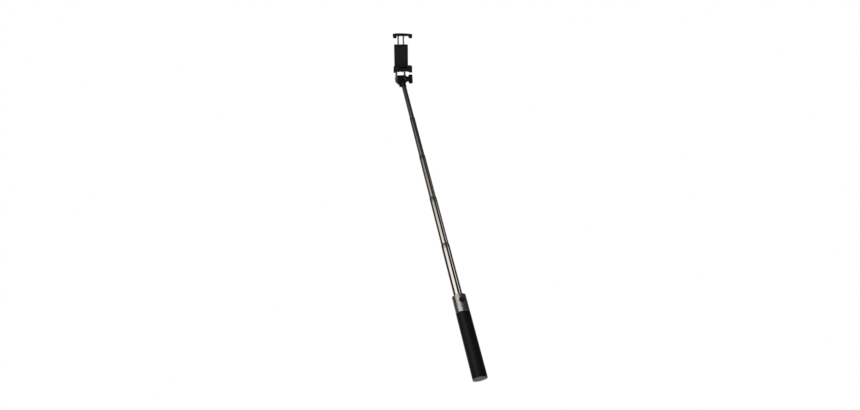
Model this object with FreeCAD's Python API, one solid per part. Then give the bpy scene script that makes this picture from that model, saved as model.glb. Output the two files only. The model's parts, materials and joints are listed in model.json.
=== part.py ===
import FreeCAD, Part
import math
import os

# Telescopic selfie stick with a tilting, spring-loaded phone clamp.
# Units: millimetres. +Z runs up the stick, the origin is the centre of the
# end cap's bottom face, -Y is the front (button side, phone-screen side),
# +X is the side of the wing knob.

Vector = FreeCAD.Vector
X, Y, Z = Vector(1, 0, 0), Vector(0, 1, 0), Vector(0, 0, 1)

# ---------------------------------------------------------------- dimensions
# handle
HANDLE_R = 12.6            # grip and collar outside radius
HANDLE_TOP = 145.0         # nominal top, tubes are measured from it
CAP_H = 1.8                # visible height of the end cap
GRIP_TOP = 113.5
CORE_R = 11.1              # outside radius of the metal core tube
CORE_BORE_R = CORE_R - 0.6
BUSH_H = 3.0               # space for the mouth bush
BUSH_Z = HANDLE_TOP - BUSH_H
TUBE_Y = 1.6               # telescopic tubes sit this far behind the handle axis

# telescopic sections, from the handle outwards
TUBE_WALL = 0.4
GAP = 0.35                 # radial space between neighbouring tubes
FIT = 0.05                 # radial running clearance at bushes and mouths
SECTION_R = [8.1 - n * (TUBE_WALL + GAP) for n in range(5)]   # outside radii
SECTION_TOP = [250.0, 355.0, 460.0, 565.0, 673.4]
OVERLAP = 20.0
SECTION_FOOT = [top - OVERLAP for top in [HANDLE_TOP] + SECTION_TOP[:-1]]
MOUTH_H = 2.0              # height of the rolled-in mouth
FLANGE_H = 3.0             # bush flange under each tube
GROOVE_C = 8.8             # distance of the groove's centre from the tube axis
GROOVE_SUM = SECTION_R[0] + 1.4   # tube radius plus groove radius, same on every tube
GROOVE_DEG = 8.0           # the groove is turned this far from the front towards +X
GUIDE_BORE_R = SECTION_R[0] + GAP
PLUG_Z = 12.0
GUIDE_Z = PLUG_Z + 4       # foot of the guide tube

# shutter button and electronics
BUTTON_Z = 133.0
BUTTON_R = 4.5
BUTTON_H = 2.5
BUTTON_Y = 1.6 - HANDLE_R  # rear face of the button
DISH_R = 16.0
BEZEL_R = 5.25
LED_Z = 123.9
LED_R = 1.0
LED_LENGTH = 3.75
SOCKET_Y = 4.2             # charging socket, behind the handle axis
SOCKET_HALF_X, SOCKET_HALF_Y = 3.8, 1.35
SOCKET_WALL = 0.4
BOARD_FRONT, BOARD_BACK = -8.9, -8.1
BOARD_Z = 70.0
BATTERY_Z, BATTERY_TOP = 24.0, 64.0
LEAD_X, LEAD_Y, LEAD_R = 1.5, -8.5, 0.4

# head
HEAD_X = -3.5              # centre of the tilting head, left of the tube axis
PIVOT_Y = TUBE_Y
PIVOT_Z = 683.5
TILT_DEG = 52.0            # forward tilt of the clamp
WING_DEG = 40.0            # angle of the wing knob
EYE_R = 9.0
EYE_HALF = 7.7
WASHER_T = 0.8
CHEEK_IN = EYE_HALF + WASHER_T
CHEEK_OUT = CHEEK_IN + 2.2
BOLT_R = 2.0
BOLT_HOLE_R = BOLT_R + FIT
NECK_Z = 660.0
BLOCK_Z = 671.0
TUBE_SCREW_Z = 663.0
TUBE_SCREW_R = 1.25
TUBE_SCREW_HEAD_X = -8.4   # underside of the head

# phone clamp, measured upright from the pivot: u right, v back, w up
YOKE_HALF_V = 5.5
BRIDGE_LOW, BRIDGE_TOP = 17.2, 19.6
YOKE_SCREW_U = 4.0
YOKE_SCREW_R = 1.25
YOKE_SCREW_LENGTH = 5.3
SHELF_W = 21.9             # plastic face of the lower jaw under its pad
PHONE_LOW = 23.2           # face of the lower pad
PHONE_HIGH = PHONE_LOW + 70.4   # face of the upper pad
JAW_LOW = 95.0             # plastic underside of the upper jaw
JAW_SHOULDER = 98.2        # its top at the ends
JAW_CROWN = 99.7           # its top in the middle
LOWER_HALF, UPPER_HALF = 21.2, 21.5   # half widths of the jaws
CLAMP_U = 1.8              # the clamp stands this far right of the yoke
JAW_FRONT = -19.5
LIP_T = 2.2
LIP_BACK = JAW_FRONT + LIP_T
BACK_V = 5.5
UPPER_BACK = 5.0
UPPER_FACE_BACK = -4.6     # rear end of the upper pad
COVER_FRONT, COVER_BACK = -5.5, -4.0
PAD_T = 1.0
HOUSING_HALF = 15.0
HOUSING_TOP = 76.0
HOUSING_WALL = 1.6
COVER_SCREWS = [(u, w) for u in (-11.0, 11.0) for w in (28.0, 70.0)]
COVER_SCREW_R = 1.0
COVER_SCREW_TIP = -5.0
COVER_SCREW_SEAT = BACK_V - 1.6
SCREW_HEAD_T = 1.3
ROD_SIDES = (-6.0, 6.0)    # u of the two guide rods
ROD_R = 1.75
ROD_W = 48.5               # foot of the rods
CLIP_W = ROD_W + 0.5
CLIP_T = 1.0
ROD_SEAT = 3.0             # depth of the rods in the upper jaw
ROD_BOSS_W = 71.0
SPRING_R = 2.4             # radius to the middle of the wire
SPRING_WIRE_R = 0.3
SPRING_END = 0.33          # from each coil end to its seat
SPRING_TURNS = 8

# wing knob
KNOB_U = CHEEK_OUT + 0.6
KNOB_R = 8.7
KNOB_BASE_T = 1.8
INSERT_AF = 6.4            # across flats
INSERT_END = KNOB_U + 7.4
WING_HALF_T = 2.9


# ------------------------------------------------------------------- helpers
def cyl(radius, height, x=0.0, y=0.0, z=0.0, axis=Z):
    return Part.makeCylinder(radius, height, Vector(x, y, z), axis)


def box(x0, x1, y0, y1, z0, z1):
    return Part.makeBox(x1 - x0, y1 - y0, z1 - z0, Vector(x0, y0, z0))


def ring(outer, inner, height, x=0.0, y=0.0, z=0.0, axis=Z):
    return cyl(outer, height, x, y, z, axis).cut(cyl(inner, height, x, y, z, axis))


def prism(points, axis, start, end):
    """Polygon in the plane across axis, extruded from start to end."""
    place_at = {"x": lambda a, b: Vector(start, a, b),
                "y": lambda a, b: Vector(a, start, b),
                "z": lambda a, b: Vector(a, b, start)}[axis]
    corners = [place_at(*point) for point in points]
    face = Part.Face(Part.makePolygon(corners + corners[:1]))
    return face.extrude({"x": X, "y": Y, "z": Z}[axis] * (end - start))


def mirrored(points):
    """Close a left half outline with its mirror image."""
    return points + [(-a, b) for a, b in reversed(points)]


def hexagon(across_flats, x0, x1):
    radius = across_flats / math.sqrt(3.0)
    angles = [math.radians(60 * k) for k in range(6)]
    return prism([(radius * math.cos(a), radius * math.sin(a)) for a in angles], "x", x0, x1)


def try_fillet(shape, radius, edges):
    # The kernel may refuse a fillet or return a broken solid: None then.
    try:
        rounded = shape.makeFillet(radius, edges)
        if rounded.isValid() and rounded.Volume > 0:
            return rounded
    except Exception:
        pass
    return None


def fillet(shape, radius, pick):
    """Round the picked edges together or, if that fails, one by one."""
    edges = [edge for edge in shape.Edges if pick(edge)]
    if not edges:
        return shape
    rounded = try_fillet(shape, radius, edges)
    if rounded is not None:
        return rounded
    for centre in [edge.CenterOfMass for edge in edges]:
        near = [edge for edge in shape.Edges if (edge.CenterOfMass - centre).Length < 1e-3]
        rounded = try_fillet(shape, radius, near[:1]) if near else None
        if rounded is not None:
            shape = rounded
    return shape


def parallel(edge, axis):
    if not isinstance(edge.Curve, Part.Line):
        return False
    span = edge.Vertexes[-1].Point - edge.Vertexes[0].Point
    return abs(abs(span.dot(axis)) / span.Length - 1) < 1e-4


def along(axis):
    return lambda edge: parallel(edge, axis)


def at(edge, axis, value):
    """True for an edge lying in the plane where the named axis has this value."""
    bounds = edge.BoundBox
    return all(abs(getattr(bounds, axis + end) - value) < 1e-3 for end in ("Min", "Max"))


def in_plane(axis, value):
    return lambda edge: at(edge, axis, value)


def has_radius(edge, radius):
    return isinstance(edge.Curve, Part.Circle) and abs(edge.Curve.Radius - radius) < 1e-6


def export(name, shape):
    found = shape.Solids
    for solid in found:
        assert solid.isValid() and solid.isClosed() and solid.Volume > 0, name
    shape = found[0] if len(found) == 1 else Part.makeCompound(found)
    shape.exportStep("parts/" + name + ".step")


def keyed(radius, z0, z1, soft=0.0):
    """Round bar on the tube axis with one shallow groove along its front."""
    bar = cyl(radius, z1 - z0, 0, TUBE_Y, z0)
    bar = bar.cut(cyl(GROOVE_SUM - radius, z1 - z0, 0, TUBE_Y - GROOVE_C, z0))
    if soft:
        bar = fillet(bar, soft, lambda edge: parallel(edge, Z)
                     and edge.CenterOfMass.y < TUBE_Y - 1 and abs(edge.CenterOfMass.x) > 0.4)
    bar = bar.copy()
    bar.rotate(Vector(0, TUBE_Y, 0), Z, GROOVE_DEG)
    return bar


# -------------------------------------------------------------------- handle
def cut_front_holes(shape):
    """Holes for the button bezel and the status lens."""
    shape = shape.cut(cyl(BEZEL_R, 8, 0, -8, BUTTON_Z, -Y))
    return shape.cut(cyl(LED_R, 8, 0, -8, LED_Z, -Y))


def outer_sleeve(z0, z1, soft):
    sleeve = ring(HANDLE_R, CORE_R, z1 - z0, z=z0)
    return fillet(sleeve, soft, lambda edge: has_radius(edge, HANDLE_R))


def end_cap():
    radius = HANDLE_R - 0.1
    cap = cyl(radius, CAP_H)
    cap = fillet(cap, 0.8, lambda edge: at(edge, "Z", 0) and has_radius(edge, radius))
    cap = cap.fuse(ring(CORE_BORE_R, 8.2, 5.2, z=CAP_H)).removeSplitter()
    half_x, half_y = SOCKET_HALF_X + 0.1, SOCKET_HALF_Y + 0.1
    cap = cap.cut(box(-half_x, half_x, SOCKET_Y - half_y, SOCKET_Y + half_y, -1, CAP_H + 1))
    return cap.cut(ring(10.2, 9.6, 0.35))


def handle_core():
    return cut_front_holes(ring(CORE_R, CORE_BORE_R, BUSH_Z - CAP_H, z=CAP_H))


def grip_sleeve():
    return outer_sleeve(CAP_H, GRIP_TOP, 0.5)


def collar():
    return cut_front_holes(outer_sleeve(GRIP_TOP, HANDLE_TOP, 0.7))


def mouth_bush():
    bush = cyl(CORE_R, BUSH_H - 0.4, z=BUSH_Z)
    return bush.cut(keyed(SECTION_R[0] + FIT, BUSH_Z - 1, HANDLE_TOP + 1))


def guide_tube():
    guide = keyed(GUIDE_BORE_R + TUBE_WALL, GUIDE_Z, BUSH_Z)
    return guide.cut(keyed(GUIDE_BORE_R, GUIDE_Z - 1, HANDLE_TOP))


def guide_plug():
    plug = cyl(CORE_BORE_R, GUIDE_Z - PLUG_Z, z=PLUG_Z)
    plug = plug.fuse(keyed(GUIDE_BORE_R, GUIDE_Z, GUIDE_Z + 3.9)).removeSplitter()
    return plug.cut(box(-3.0, 3.0, -12, -7.3, 11, 17)).cut(cyl(3.0, 12, 0, TUBE_Y, 10))


def battery():
    return fillet(box(-4, 4, -9.5, -7.35, BATTERY_Z, BATTERY_TOP), 0.6, along(Z))


def circuit_board():
    board = box(-4.4, 4.4, BOARD_FRONT, BOARD_BACK, BOARD_Z, 140)
    chips = box(-2.4, 2.4, BOARD_FRONT - 0.9, BOARD_FRONT, 84, 90)
    chips = chips.fuse(box(-1.6, 1.6, BOARD_FRONT - 0.8, BOARD_FRONT, 98, 102))
    return board.fuse(chips).removeSplitter()


def tact_switch():
    half = 2.8
    switch = box(-half, half, BOARD_FRONT - 1.1, BOARD_FRONT, BUTTON_Z - half, BUTTON_Z + half)
    return switch.cut(cyl(1.6, 0.9, 0, BOARD_FRONT - 0.2, BUTTON_Z, -Y))


def status_lens():
    lens = cyl(LED_R, LED_LENGTH, 0, BOARD_FRONT, LED_Z, -Y)
    return fillet(lens, 0.3, in_plane("Y", BOARD_FRONT - LED_LENGTH))


def button_bezel():
    bezel = ring(BEZEL_R, BUTTON_R + 0.1, 1.5, 0, 1.0 - HANDLE_R, BUTTON_Z, -Y)
    return fillet(bezel, 0.3, lambda edge: at(edge, "Y", -HANDLE_R - 0.5)
                  and has_radius(edge, BEZEL_R))


def charge_socket():
    half_x, half_y = SOCKET_HALF_X, SOCKET_HALF_Y
    socket = box(-half_x, half_x, SOCKET_Y - half_y, SOCKET_Y + half_y, 0.6, 6.6)
    socket = fillet(socket, 0.7, along(Z))
    half_x, half_y = half_x - SOCKET_WALL, half_y - SOCKET_WALL
    socket = socket.cut(box(-half_x, half_x, SOCKET_Y - half_y, SOCKET_Y + half_y, 0, 5.8))
    tongue = box(-2.6, 2.6, SOCKET_Y - 0.3, SOCKET_Y + 0.3, 1.6, 6.0)
    return socket.fuse(tongue).removeSplitter()


def charge_board():
    front = SOCKET_Y + SOCKET_HALF_Y
    return box(-4.7, 4.7, front, front + 0.9, 4.3, 11.4)


def lead(points):
    """Round wire through the points, with a ball at each bend."""
    points = [Vector(*point) for point in points]
    runs = [Part.makeCylinder(LEAD_R, (end - start).Length, start, end - start)
            for start, end in zip(points[:-1], points[1:])]
    shape = runs[0]
    for run in runs[1:]:
        shape = shape.fuse(run)
    for point in points[1:-1]:
        shape = shape.fuse(Part.makeSphere(LEAD_R, point))
    return shape


def battery_leads():
    leads = []
    for x in (-LEAD_X, LEAD_X):
        leads.append(lead([(x, SOCKET_Y + SOCKET_HALF_Y, 8.6), (x, -6.6, 8.9),
                           (x, LEAD_Y, 11.0), (x, LEAD_Y, BATTERY_Z)]))
        leads.append(lead([(x, LEAD_Y, BATTERY_TOP), (x, LEAD_Y, BOARD_Z)]))
    return Part.makeCompound(leads)


def shutter_button():
    face_y = BUTTON_Y - BUTTON_H
    button = cyl(BUTTON_R, BUTTON_H, 0, BUTTON_Y, BUTTON_Z, -Y)
    button = button.fuse(cyl(5.0, 0.5, 0, BUTTON_Y, BUTTON_Z, -Y)).removeSplitter()
    button = button.cut(Part.makeSphere(DISH_R, Vector(0, face_y - DISH_R + 0.4, BUTTON_Z)))
    return fillet(button, 0.3, lambda edge: has_radius(edge, BUTTON_R)
                  and edge.CenterOfMass.y < face_y + 0.4)


def switch_plunger():
    back = BOARD_FRONT - 0.7
    return cyl(1.5, back - BUTTON_Y, 0, back, BUTTON_Z, -Y)


# ------------------------------------------------------- telescopic sections
def tube(n):
    """Section n; every one but the last has a rolled-in mouth."""
    radius, foot, top = SECTION_R[n], SECTION_FOOT[n], SECTION_TOP[n]
    bore_r = radius - TUBE_WALL
    shape = keyed(radius, foot, top, 0.3)
    if n == len(SECTION_R) - 1:
        shape = shape.cut(keyed(bore_r, foot - 1, top + 1))
        return shape.cut(cyl(TUBE_SCREW_R, 8, 0, TUBE_Y, TUBE_SCREW_Z, -X))
    shape = fillet(shape, 0.25, lambda edge: at(edge, "Z", top)
                   and edge.BoundBox.DiagonalLength > 1)
    shape = shape.cut(keyed(bore_r, foot - 1, top - MOUTH_H))
    return shape.cut(keyed(SECTION_R[n + 1] + FIT, top - MOUTH_H - 0.5, top + 1))


def glide_bush(n):
    """Thin sleeve round the tube's foot with a flange under it."""
    radius, foot = SECTION_R[n], SECTION_FOOT[n]
    outer = radius + GAP - FIT
    top = (SECTION_TOP[n - 1] - MOUTH_H if n else BUSH_Z) - 0.05
    sleeve = keyed(outer, foot, top).cut(keyed(radius, foot, top))
    flange = keyed(outer, foot - FLANGE_H, foot).cut(keyed(radius - 1.3, foot - FLANGE_H, foot))
    return sleeve.fuse(flange).removeSplitter()


# ------------------------------------------------------------------- knuckle
def knuckle():
    left, right = HEAD_X - EYE_HALF, HEAD_X + EYE_HALF
    eye = cyl(EYE_R, 2 * EYE_HALF, left, PIVOT_Y, PIVOT_Z, X)
    upper = box(left, right, PIVOT_Y - 6.6, PIVOT_Y + 7.2, PIVOT_Z - 10.0, PIVOT_Z)
    lower = box(-9.8, 6.4, PIVOT_Y - 6.2, PIVOT_Y + 6.6, BLOCK_Z, PIVOT_Z - 9.5)
    lower = fillet(lower, 3.0, along(Z))
    neck = cyl(5.9, BLOCK_Z - NECK_Z + 1, 0, TUBE_Y, NECK_Z)
    lug = box(-9.6, -1.0, TUBE_Y - 3.2, TUBE_Y + 3.2, NECK_Z, BLOCK_Z + 1)
    lug = fillet(lug, 2.9, lambda edge: parallel(edge, X) and edge.CenterOfMass.z < NECK_Z + 1)
    body = eye.fuse(upper).removeSplitter().fuse(lower).fuse(neck).fuse(lug).removeSplitter()
    body = body.cut(cyl(SECTION_R[-1], SECTION_TOP[-1] + 0.1 - NECK_Z + 1, 0, TUBE_Y, NECK_Z - 1))
    body = body.cut(cyl(BOLT_HOLE_R, 2 * EYE_HALF + 2, left - 1, PIVOT_Y, PIVOT_Z, X))
    body = body.cut(cyl(TUBE_SCREW_R, 12, 0, TUBE_Y, TUBE_SCREW_Z, -X))
    body = body.cut(cyl(2.2, 2.0, TUBE_SCREW_HEAD_X, TUBE_Y, TUBE_SCREW_Z, -X))
    return fillet(body, 0.8, lambda edge: has_radius(edge, EYE_R))


def tube_screw():
    tip = -4.6
    screw = cyl(TUBE_SCREW_R, tip - TUBE_SCREW_HEAD_X, tip, TUBE_Y, TUBE_SCREW_Z, -X)
    head = cyl(2.1, 1.5, TUBE_SCREW_HEAD_X, TUBE_Y, TUBE_SCREW_Z, -X)
    screw = screw.fuse(head).removeSplitter()
    for dy, dz in ((1.6, 0.3), (0.3, 1.6)):
        screw = screw.cut(box(-10.5, -9.3, TUBE_Y - dy, TUBE_Y + dy,
                              TUBE_SCREW_Z - dz, TUBE_SCREW_Z + dz))
    return screw


# ----------------------------------------------------------- yoke and hinge
def place(shape, shift=0.0, degrees=TILT_DEG):
    """Tilt a part about the pivot and carry it to the head."""
    moved = shape.copy()
    moved.rotate(Vector(0, 0, 0), X, degrees)
    moved.translate(Vector(HEAD_X + shift, PIVOT_Y, PIVOT_Z))
    return moved


def cheek(u0, u1, outer, soft):
    """Side plate of the yoke, rounded along its outer face."""
    outline = mirrored([(-8.7, 2.3), (-YOKE_HALF_V, 11.5), (-YOKE_HALF_V, BRIDGE_TOP)])
    plate = cyl(EYE_R, u1 - u0, u0, 0, 0, X).fuse(prism(outline, "x", u0, u1)).removeSplitter()
    return fillet(plate, soft, lambda edge: at(edge, "X", outer)
                  and edge.BoundBox.ZMax < BRIDGE_TOP - 0.1)


def yoke():
    left = cheek(-CHEEK_OUT, -CHEEK_IN, -CHEEK_OUT, 1.0)
    right = cheek(CHEEK_IN, CHEEK_OUT, CHEEK_OUT, 0.7)
    bridge = box(-CHEEK_OUT, CHEEK_OUT, -YOKE_HALF_V, YOKE_HALF_V, BRIDGE_LOW, BRIDGE_TOP)
    left_boss = cyl(6.0, 1.2, -CHEEK_OUT, 0, 0, -X)
    left_boss = fillet(left_boss, 0.6, in_plane("X", -CHEEK_OUT - 1.2))
    right_boss = cyl(6.6, 0.5, CHEEK_OUT, 0, 0, X)
    body = left.fuse([right, bridge, left_boss, right_boss]).removeSplitter()
    body = fillet(body, 1.4, lambda edge: parallel(edge, Y)
                  and abs(edge.CenterOfMass.z - BRIDGE_LOW) < 1e-3
                  and abs(abs(edge.CenterOfMass.x) - CHEEK_IN) < 1e-3)
    body = body.cut(cyl(BOLT_HOLE_R, 40, -20, 0, 0, X))
    body = body.cut(hexagon(7.1, -CHEEK_OUT - 2, -CHEEK_OUT + 0.5))
    for u in (-YOKE_SCREW_U, YOKE_SCREW_U):
        body = body.cut(cyl(YOKE_SCREW_R, 4, u, 0, BRIDGE_LOW - 1))
    return body


def hinge_bolt():
    head, seat = -CHEEK_OUT - 1.1, -CHEEK_OUT + 0.5
    bolt = hexagon(7.0, head, seat).fuse(cyl(BOLT_R, 29.2, seat, 0, 0, X)).removeSplitter()
    return bolt.cut(cyl(1.0, 0.4, head, 0, 0, X))


def friction_washers():
    return Part.makeCompound([ring(7.6, BOLT_HOLE_R, WASHER_T, u, 0, 0, X)
                              for u in (-CHEEK_IN, EYE_HALF)])


def yoke_screws():
    screws = []
    for u in (-YOKE_SCREW_U, YOKE_SCREW_U):
        screw = cyl(2.1, SCREW_HEAD_T, u, 0, BRIDGE_LOW - SCREW_HEAD_T)
        screw = screw.fuse(cyl(YOKE_SCREW_R, YOKE_SCREW_LENGTH, u, 0, BRIDGE_LOW))
        screw = screw.removeSplitter()
        for du, dv in ((1.4, 0.25), (0.25, 1.4)):
            screw = screw.cut(box(u - du, u + du, -dv, dv, 16.0, 17.5))
        screws.append(screw)
    return Part.makeCompound(screws)


# --------------------------------------------------------------- phone clamp
def side_cutter(side, half, inner, w0, w1):
    """Trims a jaw's end narrower towards the back, along the inner (u, v) points."""
    outline = [(26, -16.0), (half, -16.0)] + inner + [(26, 7)]
    return prism([(side * u, v) for u, v in outline], "z", w0, w1)


def jaw_lip(side, inner, half, root, shoulder, tip, soft):
    """Lip across a jaw's front, with both tip corners cut at 45 degrees or so."""
    a, b = sorted((side * inner, side * half))
    bevel = 2.6 if tip > shoulder else 1.7
    outline = [(a, root), (a, shoulder), (a + bevel, tip),
               (b - bevel, tip), (b, shoulder), (b, root)]
    lip = prism(outline, "y", JAW_FRONT, LIP_BACK)
    return fillet(lip, soft, lambda edge: parallel(edge, Y)
                  and abs(edge.CenterOfMass.z - root) > 1)


def lower_jaw():
    half = LOWER_HALF
    outline = mirrored([(-half, SHELF_W), (-half, 17.0), (-half + 1.1, 15.9),
                        (-15.6, 15.9), (-14.6, 16.8), (-13.0, 18.2)])
    jaw = prism(outline, "y", JAW_FRONT, BACK_V)
    for side in (-1, 1):
        inner = [(half - 2.4, -4.5), (15.6, 1.5), (15.0, 7)]
        jaw = jaw.cut(side_cutter(side, half, inner, 0, 40))
    jaw = fillet(jaw, 0.9, lambda edge: parallel(edge, Y) and edge.CenterOfMass.z < 18.0)
    left, right = [jaw_lip(side, 9.5, half, root=20, shoulder=29.5, tip=32.0, soft=1.5)
                   for side in (-1, 1)]
    lips = left.fuse(right).fuse(box(-10, 10, JAW_FRONT, LIP_BACK, 19.0, 25.2))
    return fillet(jaw.fuse(lips).removeSplitter(), 1.0, in_plane("Y", JAW_FRONT))


def housing_shell():
    """Hollow rear housing, open to the front."""
    shell = box(-HOUSING_HALF, HOUSING_HALF, COVER_BACK, BACK_V, BRIDGE_TOP, HOUSING_TOP)
    shell = fillet(shell, 2.5, lambda edge: parallel(edge, Z) and edge.CenterOfMass.y > 0)
    shell = fillet(shell, 1.6, lambda edge: at(edge, "Z", HOUSING_TOP)
                   and edge.CenterOfMass.y > 0)
    return shell.cut(box(-13.2, 13.2, COVER_BACK - 1, BACK_V - HOUSING_WALL,
                         24.0, HOUSING_TOP - HOUSING_WALL))


def clamp_base():
    """Lower jaw and rear housing in one moulding."""
    base = lower_jaw().fuse(housing_shell()).removeSplitter()
    for u, w in COVER_SCREWS:
        base = base.fuse(cyl(2.0, BACK_V - 1.0 - COVER_BACK, u, COVER_BACK, w, Y))
    for u in ROD_SIDES:
        base = base.fuse(cyl(2.9, 4.0, u, 0, ROD_BOSS_W))
    base = base.removeSplitter()
    for u in ROD_SIDES:
        base = base.cut(cyl(ROD_R + FIT, 10, u, 0, ROD_BOSS_W - 1))
    for u, w in COVER_SCREWS:
        base = base.cut(cyl(COVER_SCREW_R, 20, u, -10, w, Y))
        base = base.cut(cyl(1.9, 4, u, COVER_SCREW_SEAT, w, Y))
    # room for the yoke, which is centred CLAMP_U to the left
    base = base.cut(box(-CHEEK_OUT - CLAMP_U, CHEEK_OUT - CLAMP_U,
                        -YOKE_HALF_V, 6.5, 0, BRIDGE_TOP))
    for u in (-YOKE_SCREW_U, YOKE_SCREW_U):
        base = base.cut(cyl(YOKE_SCREW_R, YOKE_SCREW_LENGTH, u - CLAMP_U, 0, BRIDGE_LOW))
    return base


def front_cover():
    cover = box(-HOUSING_HALF, HOUSING_HALF, COVER_FRONT, COVER_BACK, SHELF_W, HOUSING_TOP)
    cover = fillet(cover, 1.0, lambda edge: at(edge, "Y", COVER_FRONT)
                   and edge.CenterOfMass.z > SHELF_W + 0.1)
    for u, w in COVER_SCREWS:
        cover = cover.cut(cyl(COVER_SCREW_R, 1.0, u, COVER_SCREW_TIP, w, Y))
    return cover


def back_pad():
    """Pad on the front cover, with eight grooves across its face."""
    face = COVER_FRONT - PAD_T
    pad = fillet(box(-12, 12, face, COVER_FRONT, 27, 72), 3.0, along(Y))
    pad = fillet(pad, 0.4, in_plane("Y", face))
    for k in range(8):
        w = 31.0 + 5.2 * k
        pad = pad.cut(box(-10, 10, face - 0.1, face + 0.4, w, w + 1.2))
    return pad


def lower_pad():
    pad = box(-18.6, 18.6, LIP_BACK, COVER_FRONT - 0.1, SHELF_W, PHONE_LOW)
    return fillet(pad, 0.5, in_plane("Z", PHONE_LOW))


def cover_screws():
    screws = []
    for u, w in COVER_SCREWS:
        screw = cyl(1.8, SCREW_HEAD_T, u, COVER_SCREW_SEAT, w, Y)
        length = COVER_SCREW_SEAT - COVER_SCREW_TIP
        screw = screw.fuse(cyl(COVER_SCREW_R, length, u, COVER_SCREW_TIP, w, Y))
        screw = screw.removeSplitter()
        for du, dw in ((1.2, 0.25), (0.25, 1.2)):
            screw = screw.cut(box(u - du, u + du, 4.7, 6, w - dw, w + dw))
        screws.append(screw)
    return Part.makeCompound(screws)


def clamp_springs():
    """Springs round the rods, between the housing boss and the rod clip."""
    pitch = (ROD_BOSS_W - CLIP_W - CLIP_T - 2 * SPRING_END) / SPRING_TURNS
    coil = Part.BSplineCurve()
    coil.interpolate([Vector(SPRING_R * math.cos(math.pi * k / 12),
                             SPRING_R * math.sin(math.pi * k / 12), pitch * k / 24)
                      for k in range(24 * SPRING_TURNS + 1)])
    run = Vector(0, SPRING_R * 2 * math.pi, pitch)
    run.normalize()
    # the wire is an octagon across the start of the coil
    corners = []
    for k in range(8):
        across = SPRING_WIRE_R * math.cos(math.pi * k / 4)
        rise = SPRING_WIRE_R * math.sin(math.pi * k / 4)
        corners.append(Vector(SPRING_R + across, -rise * run.z, rise * run.y))
    profile = Part.makePolygon(corners + corners[:1])
    springs = []
    for u in ROD_SIDES:
        spring = Part.Wire([coil.toShape()]).makePipeShell([profile], True, True)
        if spring.ShapeType != "Solid":
            spring = Part.Solid(spring)
        spring.translate(Vector(u, 0, CLIP_W + CLIP_T + SPRING_END))
        springs.append(spring)
    return Part.makeCompound(springs)


def upper_jaw():
    half = UPPER_HALF
    left, right = [Vector(u, JAW_FRONT, JAW_SHOULDER) for u in (-half, half)]
    crown = Part.Arc(left, Vector(0, JAW_FRONT, JAW_CROWN), right).toShape()
    sides = Part.makePolygon([right, Vector(half, JAW_FRONT, JAW_LOW),
                              Vector(-half, JAW_FRONT, JAW_LOW), left])
    jaw = Part.Face(Part.Wire([crown] + sides.Edges)).extrude(Y * (UPPER_BACK - JAW_FRONT))
    notch = mirrored([(-12.6, JAW_FRONT - 1), (-11.0, -14.6)])
    jaw = jaw.cut(prism(notch, "z", 80, 110))
    for side in (-1, 1):
        u0, u1 = sorted((side * 18.4, side * half))
        jaw = jaw.fuse(box(u0, u1, JAW_FRONT, UPPER_FACE_BACK, PHONE_HIGH + 0.2, JAW_LOW + 0.5))
        inner = [(half - 2.5, -4.5), (13.0, 3.0), (11.0, 7)]
        jaw = jaw.cut(side_cutter(side, half, inner, 80, 110))
        jaw = jaw.fuse(jaw_lip(side, 13.4, half, root=JAW_LOW + 1.6, shoulder=91.0,
                               tip=89.3, soft=1.3))
    jaw = jaw.removeSplitter()
    for v in (JAW_FRONT, UPPER_BACK):
        jaw = fillet(jaw, 0.8, lambda edge: at(edge, "Y", v)
                     and edge.CenterOfMass.z > JAW_SHOULDER - 0.5)
    for u in ROD_SIDES:
        jaw = jaw.cut(cyl(ROD_R, ROD_SEAT, u, 0, JAW_LOW))
    return jaw


def upper_pad():
    pad = box(-18.2, 18.2, LIP_BACK, UPPER_FACE_BACK, PHONE_HIGH, JAW_LOW)
    notch = mirrored([(-13.4, JAW_FRONT - 1), (-11.8, -13.8)])
    pad = pad.cut(prism(notch, "z", 80, 110))
    return fillet(pad, 0.5, in_plane("Z", PHONE_HIGH))


def guide_rods():
    return Part.makeCompound([
        fillet(cyl(ROD_R, JAW_LOW + ROD_SEAT - ROD_W, u, 0, ROD_W), 0.3, in_plane("Z", ROD_W))
        for u in ROD_SIDES])


def rod_clips():
    return Part.makeCompound([ring(2.85, ROD_R, CLIP_T, u, 0, CLIP_W) for u in ROD_SIDES])


# ----------------------------------------------------------------- wing knob
def wing_knob():
    hub = Part.makeCone(6.4, 5.4, 6.8, Vector(KNOB_U + KNOB_BASE_T, 0, 0), X)
    hub = hub.fuse(cyl(KNOB_R, KNOB_BASE_T, KNOB_U, 0, 0, X)).removeSplitter()
    hub = fillet(hub, 0.5, lambda edge: has_radius(edge, KNOB_R))
    # lower half outline: distance from the knob's inner face, height
    lower = [(7.2, -4.4), (8.2, -8.9), (9.8, -10.2), (15.0, -10.2), (16.6, -8.8)]
    outline = lower + [(u, -w) for u, w in reversed(lower)]
    wing = prism([(KNOB_U + u, w) for u, w in outline], "y", -WING_HALF_T, WING_HALF_T)
    wing = fillet(wing, 1.6, along(Y))
    wing = fillet(wing, 1.0, lambda edge: at(edge, "Y", -WING_HALF_T)
                  or at(edge, "Y", WING_HALF_T))
    knob = hub.fuse(wing).removeSplitter()
    knob = knob.cut(hexagon(INSERT_AF, KNOB_U, INSERT_END))
    return knob.cut(cyl(BOLT_HOLE_R, 9.4, KNOB_U, 0, 0, X))


def knob_insert():
    insert = hexagon(INSERT_AF, KNOB_U + 0.2, INSERT_END)
    return insert.cut(cyl(BOLT_HOLE_R, 12, KNOB_U - 1, 0, 0, X))


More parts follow.
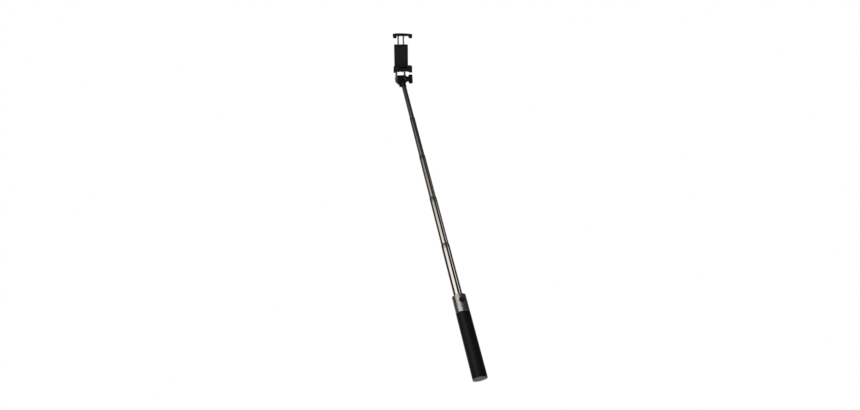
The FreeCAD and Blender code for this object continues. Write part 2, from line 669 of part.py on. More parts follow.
# -------------------------------------------------------------------- export
# Each file takes the name of the function that builds its piece.
os.makedirs("parts", exist_ok=True)
for build in (end_cap, handle_core, grip_sleeve, collar, mouth_bush, guide_tube, guide_plug,
              battery, circuit_board, tact_switch, status_lens, button_bezel, charge_socket,
              charge_board, battery_leads, shutter_button, switch_plunger, knuckle, tube_screw):
    export(build.__name__, build())
for n in range(len(SECTION_R)):
    export("tube_%d" % (n + 1), tube(n))
    export("glide_bush_%d" % (n + 1), glide_bush(n))
for build in (yoke, hinge_bolt, friction_washers, yoke_screws):
    export(build.__name__, place(build()))
for build in (clamp_base, front_cover, back_pad, lower_pad, cover_screws, clamp_springs,
              upper_jaw, upper_pad, guide_rods, rod_clips):
    export(build.__name__, place(build(), CLAMP_U))
for build in (wing_knob, knob_insert):
    export(build.__name__, place(build(), degrees=WING_DEG))
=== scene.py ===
# A telescopic phone stick: a rubber-gripped handle, five grooved steel tubes and a sprung
# phone clamp. It stands along +Z with its foot near the origin. Its front faces -Y and its
# right is +X. Sizes are in millimetres unless said otherwise; MM turns them into metres.
import bpy
import bmesh
import json
import math
from mathutils import Vector, Matrix


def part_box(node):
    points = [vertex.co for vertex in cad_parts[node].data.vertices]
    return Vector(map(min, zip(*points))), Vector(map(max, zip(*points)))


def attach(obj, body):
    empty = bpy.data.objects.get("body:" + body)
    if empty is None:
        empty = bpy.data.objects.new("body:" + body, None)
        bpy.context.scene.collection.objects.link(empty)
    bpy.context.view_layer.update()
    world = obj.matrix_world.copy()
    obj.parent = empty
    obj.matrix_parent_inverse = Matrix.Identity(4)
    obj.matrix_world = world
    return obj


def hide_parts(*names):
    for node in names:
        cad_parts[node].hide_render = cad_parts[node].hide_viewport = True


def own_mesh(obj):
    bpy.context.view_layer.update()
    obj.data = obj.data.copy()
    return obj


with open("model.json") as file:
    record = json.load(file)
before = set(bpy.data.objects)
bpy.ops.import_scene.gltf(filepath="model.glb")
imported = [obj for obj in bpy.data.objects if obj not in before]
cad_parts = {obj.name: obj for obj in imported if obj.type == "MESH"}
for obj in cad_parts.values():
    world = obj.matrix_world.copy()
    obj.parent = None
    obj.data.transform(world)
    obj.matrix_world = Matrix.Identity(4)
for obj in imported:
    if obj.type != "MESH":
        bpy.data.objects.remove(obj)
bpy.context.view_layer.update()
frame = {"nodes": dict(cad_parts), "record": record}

NODES = frame["nodes"]
BODY = {name: body for body, names in frame["record"]["behaviour"]["bodies"].items()
        for name in names}
LOOK = {}   # material of each CAD node
scene = bpy.context.scene
MM = 0.001

# tubes
TUBE_COUNT = 5
TUBE_Y = 1.6            # the tubes' axis lies this far behind the handle's
WALL = 0.4
GAP = 0.35              # radial gap between one tube and the next
TUBE_STEP = WALL + GAP  # change of radius from one tube to the next
OUTER_R = 8.1           # radius of the widest tube
MOUTH_FIT = 0.05        # clearance of a swaged mouth around the next tube
TUBE_ROW = 12           # rough spacing of the loops along a tube
GROOVE_C = 8.8          # from the tube axis to the centre of the groove's arc
GROOVE_R = 1.4          # groove radius on the widest tube
GROOVE_TURN = math.radians(8.0)   # groove's turn from the front towards the right
GROOVE_SOFT = 0.10      # softening where the groove meets the round

# handle
HANDLE_R = 12.6
GRIP_WALL = 1.48

# The clamp's own frame: u right, v back, w up, tilted forward about the pivot
TILT = math.radians(52.0)
PIVOT = (-3.5, TUBE_Y, 683.5)
CLAMP_U = 1.8           # the clamp's middle, right of the pivot


# ---------------------------------------------------------------- shader nodes
def rgba(color):
    return (*color, 1)


def scaled(color, factor):
    return tuple(min(1.0, x * factor) for x in color)


class Graph:
    """Builds a node tree. A node given as a value stands for its first output."""

    def __init__(self, tree):
        self.tree = tree
        tree.nodes.clear()

    def put(self, socket, value):
        if isinstance(value, bpy.types.Node):
            value = value.outputs[0]
        if isinstance(value, bpy.types.NodeSocket):
            self.tree.links.new(value, socket)
        else:
            socket.default_value = value

    def add(self, kind, inputs=None, **settings):
        node = self.tree.nodes.new("ShaderNode" + kind)
        for name, value in settings.items():
            setattr(node, name, value)
        for key, value in (inputs or {}).items():
            self.put(node.inputs[key], value)
        return node

    def math(self, operation, *values, clamp=False):
        return self.add("Math", dict(enumerate(values)), operation=operation, use_clamp=clamp)

    def remap(self, value, span=(0.3, 0.7), to=(0.0, 1.0), smooth=False):
        """Carries span onto to. The default span is where most noise values fall."""
        return self.add("MapRange", dict(enumerate((value, *span, *to))),
                        interpolation_type="SMOOTHSTEP" if smooth else "LINEAR")


class Look(Graph):
    """A procedural material in object space, with texture sizes in millimetres."""

    def __init__(self, name, base, rough, metallic=0.0, specular=0.5):
        self.material = bpy.data.materials.new(name)
        self.material.use_nodes = True
        super().__init__(self.material.node_tree)
        self.surface = self.add("BsdfPrincipled", {
            "Base Color": rgba(base), "Roughness": rough,
            "Metallic": metallic, "Specular IOR Level": specular})
        self.add("OutputMaterial", {0: self.surface})
        self.coords = self.add("TexCoord").outputs["Object"]

    def noise(self, size, detail=3.0, rough=0.55, stretch=(1, 1, 1), distortion=0.0):
        place = self.add("Mapping", {"Vector": self.coords, "Scale": stretch})
        return self.add("TexNoise", {
            "Vector": place, "Scale": 1000.0 / size, "Detail": detail,
            "Roughness": rough, "Distortion": distortion})

    def mix(self, factor, a, b):
        a, b = (rgba(x) if isinstance(x, tuple) else x for x in (a, b))
        return self.add("Mix", {0: factor}, data_type="RGBA"), a, b

    def blend(self, factor, a, b):
        node, a, b = self.mix(factor, a, b)
        self.put(node.inputs[6], a)
        self.put(node.inputs[7], b)
        return node.outputs[2]

    def bevel(self, radius, samples):
        """Rounds sharp edges in the shading."""
        return self.add("Bevel", {"Radius": radius * MM}, samples=samples)

    def edge_mask(self, bevel):
        """Nears 1 at an edge, where the rounded normal leaves the true one."""
        dot = self.add("VectorMath", {
            0: bevel, 1: self.add("NewGeometry").outputs["Normal"]}, operation="DOT_PRODUCT")
        return self.remap(dot.outputs["Value"], span=(0.70, 0.985), to=(1.0, 0.0))

    def finish(self, color, rough):
        self.put(self.surface.inputs["Base Color"], color)
        self.put(self.surface.inputs["Roughness"], rough)

    def bump(self, height, depth, strength, normal=None):
        node = self.add("Bump", {
            "Strength": strength, "Distance": depth * MM, "Height": height})
        if normal is not None:
            self.put(node.inputs["Normal"], normal)
        self.put(self.surface.inputs["Normal"], node)


def rubber(name, base, grain, rough, depth, specular):
    """Matt rubber with a fine grain and cloudy tone."""
    look = Look(name, base, rough, specular=specular)
    cloud = look.noise(size=9.0, detail=4.0, rough=0.6)
    fine = look.noise(size=grain, detail=2.0, rough=0.6)
    both = look.math("ADD", look.math("MULTIPLY", fine, 0.5), look.math("MULTIPLY", cloud, 0.5))
    look.finish(color=look.blend(look.remap(cloud), scaled(base, 0.82), scaled(base, 1.28)),
                rough=look.remap(both, to=(rough - 0.07, rough + 0.08)))
    look.bump(fine, depth=depth, strength=0.55)
    return look.material


def plastic(name, base, rough, grain=0.28, depth=0.03, edge=0.25, wear=1.9, specular=0.5):
    """Moulded plastic: fine grain, faint flow marks, edges rubbed brighter by wear."""
    look = Look(name, base, rough, specular=specular)
    bevel = look.bevel(radius=edge, samples=6)
    flow = look.noise(size=14.0, detail=5.0, rough=0.6, distortion=0.6)
    fine = look.noise(size=grain, detail=2.0)
    patches = look.remap(look.noise(size=1.3, rough=0.7), span=(0.42, 0.66), to=(0.15, 1.0))
    worn = look.math("MULTIPLY", look.edge_mask(bevel), patches, clamp=True)
    body = look.blend(look.remap(flow), scaled(base, 0.85), scaled(base, 1.22))
    grainy = look.math("ADD", look.remap(flow, to=(rough - 0.06, rough + 0.07)),
                       look.math("MULTIPLY", fine, 0.08))
    look.finish(
        color=look.blend(look.math("MULTIPLY", worn, 0.55), body, scaled(base, wear)),
        rough=look.math("SUBTRACT", grainy, look.math("MULTIPLY", worn, 0.10), clamp=True))
    look.bump(fine, depth=depth, strength=0.5, normal=bevel)
    return look.material


ALONG_Z = (1, 1, 0.02)
EVEN = (1, 1, 1)


def metal(name, base, rough, stretch=ALONG_Z, line=0.25, edge=0.15, depth=0.004):
    """Metal with fine lines drawn out by stretch, a smudged film and rounded edges."""
    look = Look(name, base, rough, metallic=1.0)
    bevel = look.bevel(radius=edge, samples=4) if edge else None
    lines = look.noise(size=line, rough=0.65, stretch=stretch)
    film = look.noise(size=11.0, detail=5.0, rough=0.62, distortion=0.4)
    spots = look.noise(size=2.2, detail=4.0, rough=0.7)
    smudge = look.remap(look.math("MULTIPLY", film, spots), span=(0.18, 0.42), to=(0.0, 0.05))
    body = look.blend(look.remap(film, span=(0.25, 0.75)), scaled(base, 0.90),
                      scaled(base, 1.08))
    look.finish(
        color=look.blend(look.remap(lines, to=(0.0, 0.35)), body, scaled(base, 0.78)),
        rough=look.math("ADD", look.remap(lines, to=(rough * 0.8, rough * 1.25)), smudge))
    look.bump(lines, depth=depth, strength=0.6, normal=bevel)
    return look.material


def grip_rubber():
    material = rubber("grip_rubber", (0.0030, 0.0032, 0.0034),
                      grain=0.38, rough=0.52, depth=0.030, specular=0.24)
    surface = material.node_tree.nodes["Principled BSDF"]
    surface.inputs["Sheen Weight"].default_value = 0.12
    surface.inputs["Sheen Roughness"].default_value = 0.35
    return material


def clear_lens():
    look = Look("lens_clear", (0.55, 0.66, 0.86), rough=0.18)
    look.surface.inputs["Transmission Weight"].default_value = 0.55
    look.surface.inputs["IOR"].default_value = 1.49
    look.finish(
        color=look.blend(look.noise(size=0.7), (0.50, 0.62, 0.84), (0.66, 0.76, 0.92)),
        rough=look.remap(look.noise(size=0.3, detail=2.0), to=(0.12, 0.26)))
    return look.material


# ------------------------------------------------------------------- materials
def dress(material, *nodes):
    """Gives CAD nodes a material."""
    for node in nodes:
        LOOK[node] = material
        slots = NODES[node].data.materials
        slots.clear()
        slots.append(material)


def numbered(name):
    return ["%s_%d" % (name, k + 1) for k in range(TUBE_COUNT)]


dress(grip_rubber(), "grip_sleeve")
dress(rubber("pad_rubber", (0.0130, 0.0130, 0.0134),
             grain=0.30, rough=0.66, depth=0.04, specular=0.40),
      "back_pad", "lower_pad", "upper_pad")
dress(plastic("cap_grey", (0.150, 0.147, 0.145),
              rough=0.34, grain=0.22, depth=0.015, edge=0.3, wear=1.5), "end_cap")
dress(metal("core_aluminium", (0.62, 0.62, 0.63), rough=0.28), "handle_core")
dress(metal("collar_aluminium", (0.420, 0.405, 0.392),
            rough=0.33, line=0.18, edge=0.0, depth=0.001), "collar")
dress(plastic("mouth_plastic", (0.012, 0.012, 0.0125), rough=0.40), "mouth_bush")
dress(metal("tube_steel", (0.560, 0.525, 0.485), rough=0.060,
            stretch=(1, 1, 0.012), line=0.30, edge=0.0, depth=0.0004), *numbered("tube"))
dress(metal("guide_steel", (0.55, 0.55, 0.55), rough=0.25), "guide_tube")
dress(plastic("bush_plastic", (0.035, 0.035, 0.036), rough=0.45),
      "guide_plug", *numbered("glide_bush"))
dress(plastic("head_plastic", (0.0070, 0.0070, 0.0073),
              rough=0.40, grain=0.25, edge=0.30, wear=2.6, specular=0.38),
      "knuckle", "wing_knob")
dress(plastic("clamp_plastic", (0.0066, 0.0066, 0.0070),
              rough=0.38, grain=0.25, edge=0.30, wear=2.6, specular=0.38),
      "clamp_base", "front_cover", "upper_jaw")
dress(plastic("yoke_coating", (0.0560, 0.0555, 0.0550), rough=0.28,
              grain=0.35, depth=0.035, edge=0.30, wear=2.2, specular=0.70), "yoke")
dress(metal("screw_steel", (0.22, 0.218, 0.215), rough=0.32, stretch=EVEN, line=0.3, edge=0.12),
      "tube_screw", "hinge_bolt", "cover_screws", "yoke_screws", "rod_clips")
dress(metal("rod_steel", (0.60, 0.60, 0.61), rough=0.12,
            stretch=(1, 0.02, 0.02), line=0.2, edge=0.0, depth=0.0006), "guide_rods")
dress(metal("spring_steel", (0.50, 0.50, 0.51), rough=0.28, stretch=EVEN, line=0.4, edge=0.0),
      "clamp_springs")
dress(plastic("washer_plastic", (0.04, 0.04, 0.04), rough=0.5), "friction_washers")
dress(metal("insert_brass", (0.72, 0.52, 0.24), rough=0.25, stretch=EVEN, line=0.3),
      "knob_insert")
dress(metal("bezel_chrome", (0.50, 0.49, 0.48), rough=0.16, stretch=EVEN, line=0.5, edge=0.0),
      "button_bezel")
dress(plastic("button_plastic", (0.0085, 0.0085, 0.0090),
              rough=0.30, grain=0.2, depth=0.012, edge=0.3, wear=2.2), "shutter_button")
dress(plastic("battery_wrap", (0.04, 0.11, 0.22), rough=0.25, grain=0.8, depth=0.02), "battery")
dress(plastic("board_lacquer", (0.012, 0.075, 0.035), rough=0.25, grain=0.5, depth=0.01),
      "circuit_board", "charge_board")
dress(plastic("switch_plastic", (0.03, 0.03, 0.03), rough=0.35),
      "tact_switch", "switch_plunger")
dress(metal("socket_steel", (0.62, 0.62, 0.63), rough=0.22, edge=0.1), "charge_socket")
dress(plastic("lead_insulation", (0.42, 0.03, 0.02), rough=0.35), "battery_leads")
dress(clear_lens(), "status_lens")


# ---------------------------------------------------------------------- pieces
def skin(bm, loops, closed):
    """Joins successive loops of points with quads, and caps the ends unless closed."""
    rows = [[bm.verts.new((x * MM, y * MM, z * MM)) for x, y, z in loop] for loop in loops]
    following = rows[1:] + rows[:1] if closed else rows[1:]
    for a, b in zip(rows, following):
        for k in range(len(a)):
            n = (k + 1) % len(a)
            bm.faces.new((a[k], a[n], b[n], b[k]))
    if not closed:
        bm.faces.new(rows[0][::-1])
        bm.faces.new(rows[-1])


def piece(name, node, *skins, closed=False):
    """A mesh of one or more skins that stands for a CAD node and rides on its body."""
    bm = bmesh.new()
    for loops in skins:
        skin(bm, loops, closed)
    bmesh.ops.recalc_face_normals(bm, faces=bm.faces)
    for face in bm.faces:
        face.smooth = True
    mesh = bpy.data.meshes.new(name)
    bm.to_mesh(mesh)
    bm.free()
    mesh.materials.append(LOOK[node])
    o = bpy.data.objects.new(name, mesh)
    scene.collection.objects.link(o)
    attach(o, BODY[node])
    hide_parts(node)
    return o


def height_span(node):
    low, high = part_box(node)
    return low.z / MM, high.z / MM


# ----------------------------------------------------------------------- tubes
def tube_angles():
    """Angles from the groove's middle, in finer steps near it."""
    angles, degrees = [], -180.0
    while degrees < 180.0 - 1e-6:
        angles.append(math.radians(degrees))
        degrees += 0.75 if abs(degrees) < 30 else 2.0
    return angles


ANGLES = tube_angles()

# (inset from the outer face, height above the tube's foot)
TUBE_FOOT = [(WALL, 0.1), (0.30, 0), (0.10, 0), (0.0, 0.12)]
# (inset from the outer face, depth below the tube's top)
PLAIN_RIM = [(0.0, 0.2), (0.08, 0), (0.32, 0), (WALL, 0.1)]
PLAIN_RIM_DEPTH = 0.3
# A shallow rolled line, a swage in towards the next tube, then back down inside
MOUTH = TUBE_STEP - MOUTH_FIT
SWAGED_RIM = [
    (0.0, 2.00), (0.02, 1.90), (0.08, 1.80), (0.10, 1.65), (0.12, 1.40),
    (0.20, 1.05), (0.32, 0.70), (0.46, 0.35), (0.58, 0.10), (0.66, 0),
    (MOUTH - 0.03, 0), (MOUTH, 0.06), (MOUTH, 1.9), (WALL, 2.3),
]
SWAGED_RIM_DEPTH = 2.1


def grooved_radius(radius, groove, angle):
    """Radius of the tube's outline at an angle from the groove's middle."""
    side = GROOVE_C * math.sin(angle)
    if abs(side) >= groove or math.cos(angle) < 0:
        return radius
    cut = GROOVE_C * math.cos(angle) - math.sqrt(groove * groove - side * side)
    near = max(GROOVE_SOFT - abs(cut - radius), 0.0) / GROOVE_SOFT
    return min(cut, radius) - near * near * GROOVE_SOFT * 0.25


def tube_loop(radius, groove, z):
    points = []
    for angle in ANGLES:
        r = grooved_radius(radius, groove, angle)
        turned = angle + GROOVE_TURN
        points.append((r * math.sin(turned), TUBE_Y - r * math.cos(turned), z))
    return points


def build_tube(index):
    """Tube 0 is the widest. The narrowest has a plain rim, the others a swaged one."""
    node = "tube_%d" % (index + 1)
    foot, top = height_span(node)
    plain = index == TUBE_COUNT - 1
    rim, rim_depth = (PLAIN_RIM, PLAIN_RIM_DEPTH) if plain else (SWAGED_RIM, SWAGED_RIM_DEPTH)
    radius = OUTER_R - index * TUBE_STEP
    groove = GROOVE_R + index * TUBE_STEP
    steps = max(3, int((top - foot) / TUBE_ROW))
    levels = [foot + (top - rim_depth - foot) * k / steps for k in range(1, steps)]

    profile = [(inset, foot + rise) for inset, rise in TUBE_FOOT]
    profile += [(0.0, z) for z in levels]
    profile += [(inset, top - depth) for inset, depth in rim]
    profile += [(WALL, z) for z in reversed(levels)]
    loops = [tube_loop(radius - inset, groove + inset, z) for inset, z in profile]
    piece("section_" + node, node, loops, closed=True)


for index in range(TUBE_COUNT):
    build_tube(index)


# ------------------------------------------------------------------------ grip
# (inset from the handle radius, distance from the sleeve's end): a rounded lip and a
# shallow line behind it
GRIP_END = [
    (1.3, 0.0), (0.5, 0.0), (0.28, 0.06), (0.12, 0.2), (0.03, 0.42), (0.0, 0.7),
    (0.0, 1.5), (0.03, 1.75), (0.10, 1.9), (0.12, 2.05), (0.10, 2.2), (0.06, 2.5),
]
GRIP_PLAIN = 3.0        # the plain middle starts this far from each end
GRIP_INSET = 0.04
GRIP_SWELL = 0.03
GRIP_STEPS = 36
BORE_STEPS = 12
GRIP_SEGMENTS = 144


def ring(radius, z):
    turns = [2 * math.pi * k / GRIP_SEGMENTS for k in range(GRIP_SEGMENTS)]
    return [(radius * math.sin(a), -radius * math.cos(a), z) for a in turns]


def build_grip():
    foot, top = height_span("grip_sleeve")
    bore = HANDLE_R - GRIP_WALL
    start, end = foot + GRIP_PLAIN, top - GRIP_PLAIN
    profile = [(bore, foot + 0.1)] + [(HANDLE_R - inset, foot + d) for inset, d in GRIP_END]
    for k in range(GRIP_STEPS + 1):
        t = k / GRIP_STEPS
        swell = GRIP_SWELL * math.sin(math.pi * t) ** 2
        profile.append((HANDLE_R - GRIP_INSET + swell, start + (end - start) * t))
    profile += [(HANDLE_R - inset, top - d) for inset, d in reversed(GRIP_END)]
    profile.append((bore, top - 0.1))
    profile += [(bore, top + (foot - top) * k / BORE_STEPS) for k in range(1, BORE_STEPS)]
    piece("rubber_grip", "grip_sleeve", [ring(r, z) for r, z in profile], closed=True)


build_grip()


# --------------------------------------------------------------- clamp springs
def clamp_point(u, v, w):
    c, s = math.cos(TILT), math.sin(TILT)
    return (PIVOT[0] + CLAMP_U + u, PIVOT[1] + c * v - s * w, PIVOT[2] + s * v + c * w)


SPRING_U = 6.0          # each spring's distance from the clamp's middle
SPRING_W = (50.05, 70.95)
COIL_R = 2.4            # to the middle of the wire
WIRE_R = 0.30
TURNS = 9.5
TURN_STEPS = 32
WIRE_SEGMENTS = 10


def spring_height(t):
    """Height of the wire's middle: a closed coil at each end, an even pitch between."""
    low, high = SPRING_W[0] + WIRE_R, SPRING_W[1] - WIRE_R
    closed_rise = 2 * WIRE_R
    dead = 1.0 / TURNS
    if t < dead:
        return low + closed_rise * (t / dead)
    if t > 1 - dead:
        return high - closed_rise * ((1 - t) / dead)
    rise = high - low - 2 * closed_rise
    return low + closed_rise + rise * (t - dead) / (1 - 2 * dead)


def coil(middle_u):
    loops = []
    count = int(TURNS * TURN_STEPS)
    for k in range(count + 1):
        t = k / count
        turn = 2 * math.pi * TURNS * t
        w = spring_height(t)
        loop = []
        for j in range(WIRE_SEGMENTS):
            around = 2 * math.pi * j / WIRE_SEGMENTS
            r = COIL_R + WIRE_R * math.cos(around)
            loop.append(clamp_point(middle_u + r * math.cos(turn), r * math.sin(turn),
                                    w + WIRE_R * math.sin(around)))
        loops.append(loop)
    return loops


def build_springs():
    springs = piece("coil_springs", "clamp_springs", coil(-SPRING_U), coil(SPRING_U))
    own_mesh(springs)


build_springs()


# ------------------------------------------------------------------ clamp pads
PAD_ROW = 0.3           # spacing of the loops along a pad
PAD_COLUMNS = 5         # divisions across a pad's top
RIB_BLEND = 0.5         # length of the slope between rib and valley
END_LAND = 1.3          # length at each end that stays at crest height
EDGE_ROUND = 0.3        # how far the middle point of an edge is cut, as a share of the edge


def ribbed_pad(name, node, start, end, sides, base, crest, valley, pitch, rib,
               place=clamp_point, edge=0.45):
    """A rubber slab with rounded ribs across it.

    Its loops run from start to end. sides(x) gives the two long edges at a station, and
    base, crest and valley are heights. place turns (station, side, height) into a point.
    """
    middle, half = (start + end) / 2, (end - start) / 2
    count = int((end - start) / PAD_ROW)
    up = 1 if crest > base else -1

    def top(x):
        if abs(x - middle) > half - END_LAND:
            return crest
        ribs = (x - middle) / pitch
        distance = abs(ribs - round(ribs)) * pitch
        k = min(1.0, max(0.0, (rib / 2 + RIB_BLEND / 2 - distance) / RIB_BLEND))
        return valley + (crest - valley) * k * k * (3 - 2 * k)

    def loop(x, drop=0.0):
        low, high = sides(x)
        t = top(x) - up * drop
        cut = edge * EDGE_ROUND
        rise = [(low, base), (low, t - up * edge), (low + cut, t - up * cut), (low + edge, t)]
        flat = [(low + edge + (high - low - 2 * edge) * k / PAD_COLUMNS, t)
                for k in range(1, PAD_COLUMNS)]
        fall = [(high - edge, t), (high - cut, t - up * cut), (high, t - up * edge),
                (high, base)]
        return [place(x, side, height) for side, height in rise + flat + fall]

    inner = [loop(start + edge + (end - start - 2 * edge) * k / count)
             for k in range(count + 1)]
    shift = edge * EDGE_ROUND
    loops = [loop(start, edge * 0.9), loop(start + shift, shift), *inner,
             loop(end - shift, shift), loop(end, edge * 0.9)]
    piece(name, node, loops)


JAW_FRONT = -17.3
NOTCH_BACK = -13.8      # front edge of the upper pad's set-back middle
NOTCH_U = (11.95, 13.0)  # where the set-back's slanted sides start and end
JAW_RIBS = dict(pitch=3.1, rib=1.5)
BACK_W = (27.0, 72.0)
BACK_HALF = 12.0
BACK_CORNER = 3.0


def upper_sides(u):
    inner, outer = NOTCH_U
    slant = min(1.0, max(0.0, (abs(u) - inner) / (outer - inner)))
    return NOTCH_BACK + (JAW_FRONT - NOTCH_BACK) * slant, -4.6


def back_sides(w):
    short = max(0.0, BACK_CORNER - min(w - BACK_W[0], BACK_W[1] - w))
    cut = BACK_CORNER - math.sqrt(max(0.0, BACK_CORNER ** 2 - short ** 2))
    return cut - BACK_HALF, BACK_HALF - cut


ribbed_pad("lower_jaw_pad", "lower_pad", start=-18.6, end=18.6,
           sides=lambda u: (JAW_FRONT, -5.6), base=21.9, crest=23.2, valley=22.75, **JAW_RIBS)
ribbed_pad("upper_jaw_pad", "upper_pad", start=-18.2, end=18.2,
           sides=upper_sides, base=95.0, crest=93.6, valley=94.05, **JAW_RIBS)
ribbed_pad("phone_back_pad", "back_pad", start=BACK_W[0], end=BACK_W[1],
           sides=back_sides, base=-5.5, crest=-6.5, valley=-6.1, pitch=5.2, rib=3.4,
           place=lambda w, u, v: clamp_point(u, v, w), edge=0.35)


# ----------------------------------------------------------------------- stage
# The floor and the lights are in metres.
LIGHT_COLOR = (1.0, 0.985, 0.965)


def floor_material():
    material = bpy.data.materials.new("floor_pale")
    material.use_nodes = True
    graph = Graph(material.node_tree)
    ray = graph.add("LightPath").outputs

    def clamped(operation, a, b):
        return graph.math(operation, a, b, clamp=True)

    matt = graph.add("BsdfPrincipled", {
        "Base Color": (0.80, 0.795, 0.785, 1), "Roughness": 0.75, "Specular IOR Level": 0.2})
    # seen directly, the floor glows a little and fades to white with distance
    far = graph.add("VectorMath", {0: graph.add("TexCoord").outputs["Object"]},
                    operation="LENGTH").outputs["Value"]
    fade = graph.remap(far, span=(0.5, 4.5), to=(0.36, 0.95), smooth=True)
    glow = graph.add("Emission", {
        "Color": (1.0, 0.995, 0.985, 1),
        "Strength": clamped("MULTIPLY", fade, ray["Is Camera Ray"])})
    # clear from below, to shadow rays and to short rays other than the camera's
    near = clamped("MULTIPLY", clamped("LESS_THAN", ray["Ray Length"], 0.03),
                   clamped("SUBTRACT", 1.0, ray["Is Camera Ray"]))
    clear = clamped("ADD", graph.add("NewGeometry").outputs["Backfacing"],
                    clamped("ADD", near, ray["Is Shadow Ray"]))
    # in bright metal, the floor away from the stick gives way to the studio lights
    away = graph.remap(far, span=(0.20, 1.30), to=(0.0, 0.92), smooth=True)
    clear = clamped("ADD", clear, clamped("MULTIPLY", away, ray["Is Glossy Ray"]))
    solid = graph.add("AddShader", {0: matt, 1: glow})
    mix = graph.add("MixShader", {0: clear, 1: solid, 2: graph.add("BsdfTransparent")})
    graph.add("OutputMaterial", {0: mix})
    return material


def stage_floor():
    mesh = bpy.data.meshes.new("floor")
    bm = bmesh.new()
    bmesh.ops.create_grid(bm, x_segments=8, y_segments=8, size=6.0)
    for vert in bm.verts:
        vert.co.z = -0.0006
    bm.to_mesh(mesh)
    bm.free()
    o = bpy.data.objects.new("floor", mesh)
    scene.collection.objects.link(o)
    mesh.materials.append(floor_material())


stage_floor()

# Softboxes painted on the sky. azimuth, half width and edge softness are in degrees, with
# azimuth from the front towards the right. stops are (sine of elevation, level).
SOFTBOXES = [
    # a big box at the front left, fading towards the ceiling
    dict(azimuth=-44, half=30, soft=5, strength=1.75, blend="B_SPLINE", stops=[
        (-0.60, 0.0), (-0.35, 0.55), (-0.05, 0.9), (0.36, 1.0), (0.44, 0.85), (0.50, 0.55),
        (0.56, 0.265), (0.62, 0.11), (0.68, 0.048), (0.80, 0.02), (0.95, 0.0)]),
    # a narrow strip at the front right
    dict(azimuth=27, half=4, soft=2.5, strength=0.10, stops=[
        (-0.5, 0.0), (-0.2, 0.8), (0.40, 1.0), (0.55, 0.55), (0.72, 0.22), (0.9, 0.0)],
        blend="B_SPLINE"),
    # gentle boxes behind and at the right rear
    dict(azimuth=172, half=20, soft=8, strength=1.1, stops=[
        (-0.45, 0.0), (-0.1, 0.8), (0.35, 1.0), (0.62, 0.5), (0.8, 0.0)]),
    dict(azimuth=132, half=9, soft=5, strength=0.9, stops=[
        (-0.45, 0.0), (-0.1, 0.8), (0.40, 1.0), (0.70, 0.4), (0.9, 0.0)]),
    # a glow from the left rear, which lifts the left edges
    dict(azimuth=-160, half=14, soft=9, strength=0.90, stops=[
        (-0.10, 0.0), (0.20, 0.8), (0.50, 1.0), (0.72, 0.6), (0.9, 0.0)]),
]


def studio_world():
    world = bpy.data.worlds.new("studio")
    scene.world = world
    world.use_nodes = True
    graph = Graph(world.node_tree)
    calc = graph.math
    x, y, z = graph.add("SeparateXYZ", {0: graph.add("TexCoord").outputs["Generated"]}).outputs
    flat = calc("SQRT", calc("ADD", calc("MULTIPLY", x, x), calc("MULTIPLY", y, y)))
    flat = calc("MAXIMUM", flat, 1e-4)

    def softbox(azimuth, half, soft, strength, stops, blend="LINEAR"):
        a = math.radians(azimuth)
        toward = calc("ADD", calc("MULTIPLY", x, math.sin(a)), calc("MULTIPLY", y, -math.cos(a)))
        edges = [math.cos(math.radians(d)) for d in (half + soft, half - soft)]
        window = graph.remap(calc("DIVIDE", toward, flat), span=edges, smooth=True)
        ramp = graph.add("ValToRGB", {0: calc("MULTIPLY", calc("ADD", z, 1.0), 0.5)})
        ramp.color_ramp.interpolation = blend
        elements = ramp.color_ramp.elements
        elements.remove(elements[-1])
        for k, (sine, level) in enumerate(stops):
            place = (sine + 1) / 2
            element = elements.new(place) if k else elements[0]
            element.position = place
            element.color = (level, level, level, 1)
        return calc("MULTIPLY", calc("MULTIPLY", window, ramp), strength)

    boxes = [softbox(**box) for box in SOFTBOXES]
    total = boxes[0]
    for box in boxes[1:]:
        total = calc("ADD", total, box)
    overhead = graph.remap(z, span=(0.86, 0.99), smooth=True)
    total = calc("ADD", total, calc("MULTIPLY", overhead, 0.50))
    room = 0.040
    total = calc("ADD", total, room)
    # the camera itself sees plain white
    light = graph.add("Background", {"Color": rgba(LIGHT_COLOR), "Strength": total})
    white = graph.add("Background", {"Color": (1, 1, 1, 1), "Strength": 1.0})
    camera_ray = graph.add("LightPath").outputs["Is Camera Ray"]
    graph.add("OutputWorld", {0: graph.add("MixShader", {0: camera_ray, 1: light, 2: white})})


studio_world()


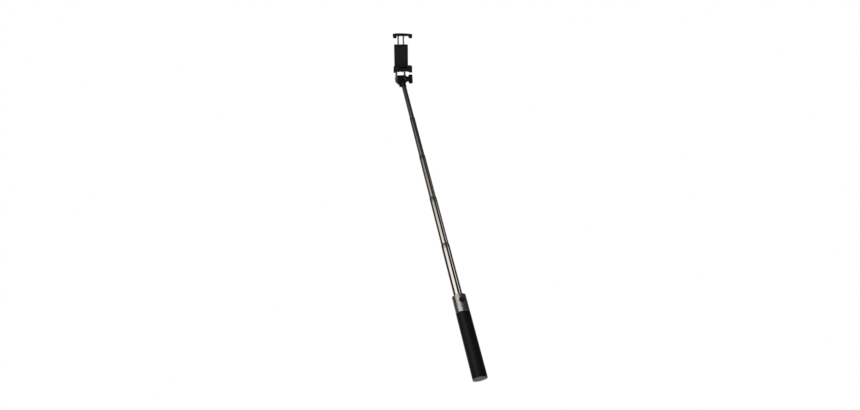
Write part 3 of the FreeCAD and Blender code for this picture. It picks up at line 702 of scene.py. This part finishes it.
def area(name, azimuth, elevation, distance, size, power, target=(0, 0, 0.45)):
    """A fill light aimed at target, unseen by the camera and in reflections."""
    a, e = math.radians(azimuth), math.radians(elevation)
    away = Vector((math.sin(a) * math.cos(e), -math.cos(a) * math.cos(e), math.sin(e)))
    light = bpy.data.lights.new(name, "AREA")
    light.shape = "RECTANGLE"
    light.size, light.size_y = size
    light.energy = power
    light.color = LIGHT_COLOR
    o = bpy.data.objects.new(name, light)
    o.location = Vector(target) + away * distance
    o.rotation_mode = "QUATERNION"
    o.rotation_quaternion = (-away).to_track_quat("-Z", "Y")
    o.visible_glossy = False
    o.visible_camera = False
    scene.collection.objects.link(o)


area("fill_left", azimuth=-78, elevation=30, distance=1.9, size=(1.2, 1.6), power=9)
area("fill_rear", azimuth=160, elevation=35, distance=2.0, size=(1.2, 1.2), power=9)
area("fill_low", azimuth=-30, elevation=-66, distance=1.5, size=(0.7, 0.7), power=6,
     target=(0, 0, 0.03))

# ---------------------------------------------------------------------- camera
# Vectors in the camera's axes: right, forward, up
STICK_AXIS = (-22.3, 54.5, 87.7)        # direction of world Z
AIM_IN_CAMERA = (49.8, 909.0, -160.0)   # a point on the tubes' axis, in millimetres
AIM_Z = 145                             # that point's height in the world
YAW, ROLL = math.radians(15), math.radians(4.8)   # of world X
SENSOR = 36.0
LENS = 21.76744186


def build_camera():
    # the world's axes as the camera sees them
    world_z = Vector(STICK_AXIS).normalized()
    world_x = Vector((math.cos(YAW) * math.cos(ROLL), math.sin(YAW) * math.cos(ROLL),
                      math.sin(ROLL)))
    world_x = (world_x - world_x.dot(world_z) * world_z).normalized()
    world_y = world_z.cross(world_x)
    axes = (world_x, world_y, world_z)
    origin = Vector(AIM_IN_CAMERA) - AIM_Z * world_z - TUBE_Y * world_y
    position = Vector([-axis.dot(origin) for axis in axes]) * MM
    right, forward, up = (Vector(parts) for parts in zip(*axes))

    data = bpy.data.cameras.new("camera")
    data.sensor_fit = "HORIZONTAL"
    data.sensor_width = SENSOR
    data.lens = LENS
    data.clip_start, data.clip_end = 0.01, 50
    o = bpy.data.objects.new("camera", data)
    turn = Matrix((right, up, -forward)).transposed()
    o.matrix_world = Matrix.Translation(position) @ turn.to_4x4()
    scene.collection.objects.link(o)
    scene.camera = o


build_camera()
scene.view_settings.view_transform = "Standard"
scene.view_settings.look = "None"

bpy.context.view_layer.update()
